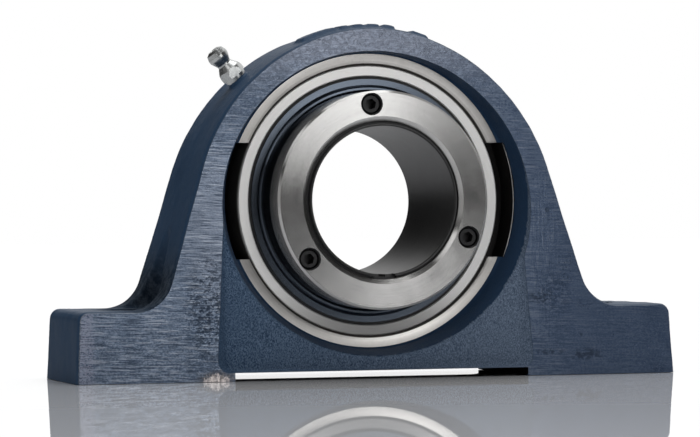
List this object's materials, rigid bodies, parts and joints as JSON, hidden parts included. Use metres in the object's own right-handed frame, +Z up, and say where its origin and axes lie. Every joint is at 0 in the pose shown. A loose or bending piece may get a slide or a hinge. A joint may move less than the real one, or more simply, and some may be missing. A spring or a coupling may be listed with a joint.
{
  "type": "pillow block bearing",
  "caption": "Pillow block bearing: painted cast iron housing on slotted feet, self-aligning ball bearing insert, stepped clamping sleeve and screw-tightened collar.",
  "frame": {"origin": "centre of the spherical seat, on the shaft axis", "axes": "+Y along the shaft, away from the collar side; +X along the length of the base; +Z up, away from the base"},
  "size_m": [0.1896, 0.0498, 0.1082],
  "materials": {
    "cast_paint": "navy blue enamel brushed over grey cast iron; machined bare seat",
    "ring_steel": "ground and turned bearing steel",
    "collar_steel": "turned satin steel",
    "sleeve_steel": "turned and honed steel",
    "flinger_steel": "bright pressed sheet steel",
    "black_steel": "black oxide",
    "ball_steel": "polished",
    "cage_polymer": "glass-filled polyamide",
    "seal_rubber": "moulded nitrile rubber",
    "zinc_steel": "bright zinc plate",
    "spring_steel": "drawn spring wire"
  },
  "bodies": {
    "housing": {"housing_casting": "cast_paint", "grease_nipple_body": "zinc_steel", "nipple_spring": "spring_steel"},
    "nipple_valve": {"nipple_check_ball": "ball_steel"},
    "outer": {"outer_ring": "ring_steel", "front_seal": "seal_rubber", "rear_seal": "seal_rubber"},
    "inner": {"inner_ring": "ring_steel", "front_flinger": "flinger_steel", "rear_flinger": "flinger_steel"},
    "cage": {"cage": "cage_polymer"},
    "ball_01": {"ball_01": "ball_steel"},
    "ball_02": {"ball_02": "ball_steel"},
    "ball_03": {"ball_03": "ball_steel"},
    "ball_04": {"ball_04": "ball_steel"},
    "ball_05": {"ball_05": "ball_steel"},
    "ball_06": {"ball_06": "ball_steel"},
    "ball_07": {"ball_07": "ball_steel"},
    "ball_08": {"ball_08": "ball_steel"},
    "ball_09": {"ball_09": "ball_steel"},
    "ball_10": {"ball_10": "ball_steel"},
    "clamp": {"stepped_sleeve": "sleeve_steel", "mounting_collar": "collar_steel", "collar_retaining_ring": "black_steel"},
    "screw_1": {"grub_screw_1": "black_steel"},
    "screw_2": {"grub_screw_2": "black_steel"},
    "screw_3": {"grub_screw_3": "black_steel"}
  },
  "joints": [
    {"name": "seat_swivel", "type": "hinge", "parent": "housing", "child": "outer", "pos_m": [0, 0, 0], "axis": [1, 0, 0], "range_deg": [-5, 5]},
    {"name": "shaft_spin", "type": "hinge", "parent": "outer", "child": "inner", "pos_m": [0, 0, 0], "axis": [0, 1, 0], "continuous": true},
    {"name": "cage_orbit", "type": "hinge", "parent": "outer", "child": "cage", "pos_m": [0, 0, 0], "axis": [0, 1, 0], "continuous": true},
    {"name": "ball_01_roll", "type": "hinge", "parent": "cage", "child": "ball_01", "pos_m": [0.0325, 0, 0], "axis": [0, 1, 0], "continuous": true},
    {"name": "ball_02_roll", "type": "hinge", "parent": "cage", "child": "ball_02", "pos_m": [0.02629, 0, 0.0191], "axis": [0, 1, 0], "continuous": true},
    {"name": "ball_03_roll", "type": "hinge", "parent": "cage", "child": "ball_03", "pos_m": [0.01004, 0, 0.03091], "axis": [0, 1, 0], "continuous": true},
    {"name": "ball_04_roll", "type": "hinge", "parent": "cage", "child": "ball_04", "pos_m": [-0.01004, 0, 0.03091], "axis": [0, 1, 0], "continuous": true},
    {"name": "ball_05_roll", "type": "hinge", "parent": "cage", "child": "ball_05", "pos_m": [-0.02629, 0, 0.0191], "axis": [0, 1, 0], "continuous": true},
    {"name": "ball_06_roll", "type": "hinge", "parent": "cage", "child": "ball_06", "pos_m": [-0.0325, 0, 0], "axis": [0, 1, 0], "continuous": true},
    {"name": "ball_07_roll", "type": "hinge", "parent": "cage", "child": "ball_07", "pos_m": [-0.02629, 0, -0.0191], "axis": [0, 1, 0], "continuous": true},
    {"name": "ball_08_roll", "type": "hinge", "parent": "cage", "child": "ball_08", "pos_m": [-0.01004, 0, -0.03091], "axis": [0, 1, 0], "continuous": true},
    {"name": "ball_09_roll", "type": "hinge", "parent": "cage", "child": "ball_09", "pos_m": [0.01004, 0, -0.03091], "axis": [0, 1, 0], "continuous": true},
    {"name": "ball_10_roll", "type": "hinge", "parent": "cage", "child": "ball_10", "pos_m": [0.02629, 0, -0.0191], "axis": [0, 1, 0], "continuous": true},
    {"name": "collar_release", "type": "slide", "parent": "inner", "child": "clamp", "axis": [0, 1, 0], "range_m": [0, 0.0008]},
    {"name": "screw_1_turn", "type": "hinge", "parent": "inner", "child": "screw_1", "pos_m": [-0.00357, -0.019, 0.02908], "axis": [0, -1, 0], "range_deg": [0, 288]},
    {"name": "screw_2_turn", "type": "hinge", "parent": "inner", "child": "screw_2", "pos_m": [-0.0234, -0.019, -0.01763], "axis": [0, -1, 0], "range_deg": [0, 288]},
    {"name": "screw_3_turn", "type": "hinge", "parent": "inner", "child": "screw_3", "pos_m": [0.02697, -0.019, -0.01145], "axis": [0, -1, 0], "range_deg": [0, 288]},
    {"name": "nipple_valve_slide", "type": "slide", "parent": "housing", "child": "nipple_valve", "axis": [0.6561, 0, -0.7547], "range_m": [0, 0.0006], "stiffness_N_per_m": 300, "springref_m": -0.001, "deforming": ["nipple_spring"]}
  ],
  "couplings": [
    {"joint": "cage_orbit", "follows": "shaft_spin", "ratio": 0.40231},
    {"joint": "ball_01_roll", "follows": "shaft_spin", "ratio": -2.4614},
    {"joint": "ball_02_roll", "follows": "shaft_spin", "ratio": -2.4614},
    {"joint": "ball_03_roll", "follows": "shaft_spin", "ratio": -2.4614},
    {"joint": "ball_04_roll", "follows": "shaft_spin", "ratio": -2.4614},
    {"joint": "ball_05_roll", "follows": "shaft_spin", "ratio": -2.4614},
    {"joint": "ball_06_roll", "follows": "shaft_spin", "ratio": -2.4614},
    {"joint": "ball_07_roll", "follows": "shaft_spin", "ratio": -2.4614},
    {"joint": "ball_08_roll", "follows": "shaft_spin", "ratio": -2.4614},
    {"joint": "ball_09_roll", "follows": "shaft_spin", "ratio": -2.4614},
    {"joint": "ball_10_roll", "follows": "shaft_spin", "ratio": -2.4614},
    {"joint": "screw_1_turn", "follows": "collar_release", "rad_per_m": 6283.2},
    {"joint": "screw_2_turn", "follows": "collar_release", "rad_per_m": 6283.2},
    {"joint": "screw_3_turn", "follows": "collar_release", "rad_per_m": 6283.2}
  ]
}
